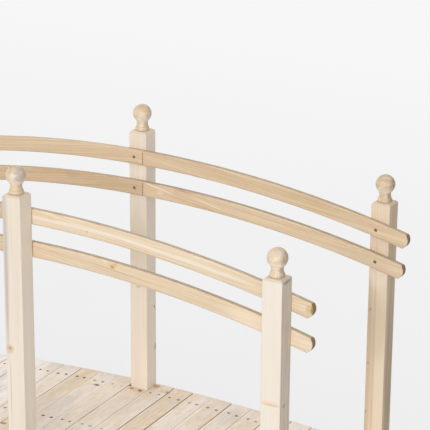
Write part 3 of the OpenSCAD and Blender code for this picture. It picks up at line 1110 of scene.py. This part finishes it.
def build_rails(material, rng):
    """The rails with eased edges and the holes of their screws, in place of the plain ones."""
    for name, node in sorted(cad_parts.items()):
        if "_rail_" not in name:
            continue
        level, _, side, _ = name.split("_")
        bm = bmesh.new()
        bm.from_mesh(node.data)
        bmesh.ops.remove_doubles(bm, verts=bm.verts, dist=WELD)
        trim_end(bm, RAIL_TRIMS.get(name, OTHER_TRIMS) * MM)
        xs = [v.co.x for v in bm.verts]
        ease(bm, RAIL_EASE)
        piece = make_object(name + "_bored", bm, material)
        cut_with(piece, countersinks(SIDES[side], level, min(xs), max(xs)))
        smooth_by_angle(piece)
        give_luck(piece, name, rng)
        # streak: strength of the sapwood streak and its painted sheen
        piece["streak"] = SAP_STREAKS_AND_SHEEN.get(name, 0.0)
        # edge: strength of the sawn grey and painted shade on the upper and lower faces
        piece["edge"] = SAWN_AND_SHADED_EDGES.get(name, OTHER_EDGES)
        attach(piece, "root")
        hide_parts(name)


# ---- CAD nodes that stay in view ----

# Slope of the chord of a half rail and of a half beam, in radians
RAIL_SLOPE = 0.128
BEAM_SLOPE = 0.082


def dress(start, material, rng, soften):
    """Gives the CAD nodes of one kind their material and their numbers."""
    for name, node in sorted(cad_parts.items()):
        if not name.startswith(start):
            continue
        give_luck(node, name, rng)
        # side: strength of the painted shade on the outward side, 1 for pieces whose names end in _front
        node["side"] = float(name.endswith("_front"))
        node.data.materials.clear()
        node.data.materials.append(material)
        if soften:
            soften_node(node)


def dress_nodes(group):
    """Posts, finials, rails and beams, in this order."""
    rng = random.Random(5)
    post = timber_material("post", group, upright_grain, spots=POST_SPOTS,
                           finish=(end_grain_and_shaded_tops, weathered_and_shaded_end_side))
    dress("post", post, rng, True)
    turned = timber_material("turned", group, upright_grain, spots=FINIAL_SPOTS,
                             finish=(ball_figure_and_painted_light, neck_bands_and_crease_shade, weathered_and_shaded_end_side))
    dress("finial", turned, rng, False)
    rail = timber_material("rail", group, chord_grain(RAIL_SLOPE), spots=RAIL_SPOTS,
                           finish=(sapwood_streak_and_sheen, sawn_and_shaded_edges, lap_seam_shade))
    build_rails(rail, rng)
    dress("beam", timber_material("beam", group, chord_grain(BEAM_SLOPE)), rng, True)


# ---- Stage, light and camera ----

FLOOR_HALF = 30.0
FLOOR_Z = -0.3 * MM
FLOOR_GREY = (0.62, 0.62, 0.62, 1)
# Where the floor starts to brighten towards the back, and where it is white
FLOOR_NEAR = 0.6
FLOOR_FAR = 4.5
# How much of the floor's look is its own colour; the rest keeps the shadow
FLOOR_GLOW = 0.82

# Light from all round: its colour and strength, and how much stronger it is from above, front and ahead
SKY_COLOUR = (0.97, 0.985, 1.0, 1)
AMBIENT = 0.45
SKY_RISE = 1.0
SKY_FRONT = 0.3
SKY_AHEAD = 0.1

# Each lamp: where its light comes from, strength, spread in degrees and colour
LAMPS = {
    "key": ((0.08, -0.94, 0.33), 1.02, 16, (1.0, 0.975, 0.94)),
    "side": ((0.45, -0.80, 0.38), 0.40, 30, (1.0, 0.98, 0.95)),
    "fill": ((-0.75, 0.55, 0.40), 0.5, 60, (0.97, 0.985, 1.0)),
}

CAMERA_AT = Vector((2.6520, -4.2098, 2.5344))
CAMERA_YAW = -0.4938
CAMERA_DOWN = 0.3397
CAMERA_ROLL = 0.0072
FOCAL_PIXELS = 2040.6
IMAGE = 430
SENSOR = 36.0


def seen_directly(n):
    """1 for what the camera sees, also by way of metal or glass, and 0 for what lights the object."""
    path = n.new("LightPath").outputs
    seen = n.math("MAXIMUM", path["Is Camera Ray"], path["Is Glossy Ray"])
    return n.math("MAXIMUM", seen, path["Is Transmission Ray"])


def build_floor():
    """A plain pale floor, which shows the camera its own colour and keeps the object's shadow."""
    bm = bmesh.new()
    bm.faces.new([bm.verts.new((a * FLOOR_HALF, b * FLOOR_HALF, FLOOR_Z)) for a, b in CORNERS])
    material, n, shader = new_material("floor")
    n.give(shader, Base_Color=FLOOR_GREY, Roughness=1.0, Specular_IOR_Level=0.0)
    bright = n.ramp(xyz(n)[1], FLOOR_NEAR, FLOOR_FAR, kind="LINEAR")
    glow = n.give(n.new("Emission"), Color=n.mix(bright, rgb(246, 246, 246), rgb(255, 255, 255)))
    share = n.times(seen_directly(n), FLOOR_GLOW)
    look = n.fill(n.new("MixShader"), share, shader.outputs[0], glow.outputs[0])
    n.give(material.node_tree.nodes["Material Output"], Surface=look)
    floor = make_object("floor", bm, material)


def build_world():
    """Soft light from all round, stronger from above and from the near side."""
    world = bpy.data.worlds.new("studio")
    bpy.context.scene.world = world
    world.use_nodes = True
    n = Nodes(world.node_tree)
    background = world.node_tree.nodes["Background"]
    seen = seen_directly(n)
    x, y, z = n.split(n.new("TexCoord").outputs["Generated"])
    glow = n.times_add(z, SKY_RISE, n.times_add(y, -SKY_FRONT, 1.0))
    glow = n.times_add(x, SKY_AHEAD, glow)
    soft = n.times(glow, AMBIENT)
    n.give(background, Color=n.mix(seen, SKY_COLOUR, rgb(244, 244, 244)),
           Strength=n.times_add(n.minus(1.0, soft), seen, soft))


def build_lights():
    """A low key lamp, which casts the near rails' shadow on the far posts, and two weak ones."""
    for name, (source, strength, spread, colour) in LAMPS.items():
        data = bpy.data.lights.new(name, "SUN")
        data.energy = strength
        data.angle = math.radians(spread)
        data.color = colour
        lamp = bpy.data.objects.new(name, data)
        lamp.rotation_mode = "QUATERNION"
        lamp.rotation_quaternion = Vector(source).to_track_quat("Z", "Y")
        bpy.context.scene.collection.objects.link(lamp)


def build_camera():
    """The photograph's camera."""
    data = bpy.data.cameras.new("camera")
    data.sensor_width = SENSOR
    data.lens = FOCAL_PIXELS / IMAGE * SENSOR
    data.clip_end = 100.0
    camera = bpy.data.objects.new("camera", data)
    cy, sy = math.cos(CAMERA_YAW), math.sin(CAMERA_YAW)
    cd, sd = math.cos(CAMERA_DOWN), math.sin(CAMERA_DOWN)
    ahead = Vector((sy * cd, cy * cd, -sd))
    right = Vector((cy, -sy, 0))
    up = right.cross(ahead)
    cr, sr = math.cos(CAMERA_ROLL), math.sin(CAMERA_ROLL)
    right, up = cr * right + sr * up, cr * up - sr * right
    turn = Matrix((right, up, -ahead)).transposed()
    camera.matrix_world = Matrix.Translation(CAMERA_AT) @ turn.to_4x4()
    bpy.context.scene.collection.objects.link(camera)
    bpy.context.scene.camera = camera


def main():
    bpy.context.scene.view_settings.view_transform = "Standard"
    softwood = timber_group()
    rim = hollow_shade_material()
    build_camera()
    build_deck(softwood)
    build_nails(rim)
    build_screws(rim)
    build_beam_screws(rim)
    dress_nodes(softwood)
    build_floor()
    build_world()
    build_lights()


main()
